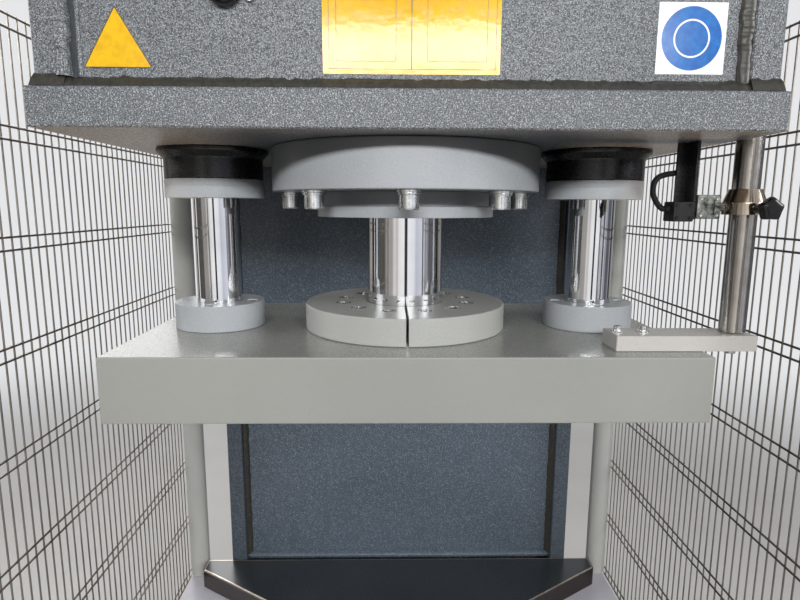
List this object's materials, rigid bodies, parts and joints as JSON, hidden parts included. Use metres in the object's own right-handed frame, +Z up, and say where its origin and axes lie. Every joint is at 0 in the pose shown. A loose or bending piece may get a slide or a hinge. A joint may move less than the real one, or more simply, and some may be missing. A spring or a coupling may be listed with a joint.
{
  "type": "hydraulic press",
  "caption": "C-frame hydraulic press with a guided platen on chrome columns, split rod collar, trip rod with limit switch, table, side mesh guards and a power unit on top.",
  "frame": {"origin": "on the floor, at the middle of the whole machine's plan box", "axes": "+X to the operator's right, +Y away from the operator, +Z up"},
  "size_m": [1.113, 1.301, 2.8282],
  "materials": {
    "hammertone": "coarse dark grey hammertone enamel",
    "pale_enamel": "satin light grey enamel with fine texture",
    "throat_paint": "dark blue-grey textured paint",
    "table_steel": "near-black satin plate with bright edge",
    "hard_chrome": "ground and hard chrome plated",
    "ground_steel": "turned and ground bright steel",
    "zinc": "bright zinc plated",
    "black_paint": "black satin paint",
    "black_plastic": "black moulded plastic",
    "cast_zinc": "as-cast grey",
    "bronze": "machined bearing bronze",
    "seal_rubber": "black seal rubber",
    "bare_wire": "dark drawn wire",
    "unit_paint": "dark satin enamel"
  },
  "bodies": {
    "frame": {"side_plate_left": "hammertone", "side_plate_right": "hammertone", "throat_plate": "throat_paint", "spine_rear_plate": "hammertone", "bed_front_plate": "hammertone", "bed_top_plate": "hammertone", "foot_bar_front": "hammertone", "foot_bar_rear": "hammertone", "table_plate": "table_steel", "deck_plate": "pale_enamel", "head_bottom_plate": "hammertone", "head_front_plate": "hammertone", "head_roof_plate": "hammertone", "cylinder_flange": "pale_enamel", "gland_ring": "pale_enamel", "rod_seal": "seal_rubber", "rod_bush": "bronze", "cylinder_barrel": "unit_paint", "cylinder_cap": "unit_paint", "guide_housing_left": "black_paint", "guide_ring_left": "pale_enamel", "guide_bush_left": "bronze", "guide_housing_right": "black_paint", "guide_ring_right": "pale_enamel", "guide_bush_right": "bronze", "switch_strap": "black_paint", "switch_body": "black_plastic", "switch_head": "cast_zinc", "cable_gland": "black_plastic", "switch_cable": "black_plastic", "guard_post_rear_left": "pale_enamel", "guard_post_front_left": "pale_enamel", "guard_post_rear_right": "pale_enamel", "guard_post_front_right": "pale_enamel", "guard_mesh_left": "bare_wire", "guard_mesh_right": "bare_wire", "oil_tank": "unit_paint", "tank_lid": "unit_paint", "pump_motor": "unit_paint", "pump_bell": "cast_zinc", "pump_body": "ground_steel", "valve_block": "zinc", "pressure_pipe": "zinc"},
    "ram": {"platen": "pale_enamel", "collar_half_left": "pale_enamel", "collar_half_right": "pale_enamel", "ram_rod": "hard_chrome", "piston": "ground_steel", "piston_seal": "seal_rubber", "guide_column_left": "hard_chrome", "guide_column_right": "hard_chrome", "base_ring_left": "pale_enamel", "base_ring_right": "pale_enamel", "stroke_bracket": "pale_enamel", "stroke_rod": "ground_steel"},
    "trip": {"trip_collar": "ground_steel"},
    "clamp": {"clamp_knob": "black_plastic"},
    "plunger": {"switch_plunger": "zinc"},
    "roller": {"switch_roller": "ground_steel"},
    "selector": {"front_knob": "black_plastic"}
  },
  "joints": [
    {"name": "ram_slide", "type": "slide", "parent": "frame", "child": "ram", "axis": [0, 0, -1], "range_m": [0, 0.4]},
    {"name": "trip_slide", "type": "slide", "parent": "ram", "child": "trip", "axis": [0, 0, 1], "range_m": [-0.14, 0.02]},
    {"name": "clamp_turn", "type": "hinge", "parent": "trip", "child": "clamp", "pos_m": [0.467, -0.343, 1.661], "axis": [0, -1, 0], "range_deg": [-360, 0]},
    {"name": "plunger_slide", "type": "slide", "parent": "frame", "child": "plunger", "axis": [-1, 0, 0], "range_m": [0, 0.004], "stiffness_N_per_m": 800, "springref_m": -0.002},
    {"name": "roller_turn", "type": "hinge", "parent": "plunger", "child": "roller", "pos_m": [0.4328, -0.343, 1.6635], "axis": [0, 1, 0], "continuous": true},
    {"name": "selector_turn", "type": "hinge", "parent": "frame", "child": "selector", "pos_m": [-0.2135, -0.4378, 1.9065], "axis": [0, -1, 0], "range_deg": [0, 90]}
  ]
}
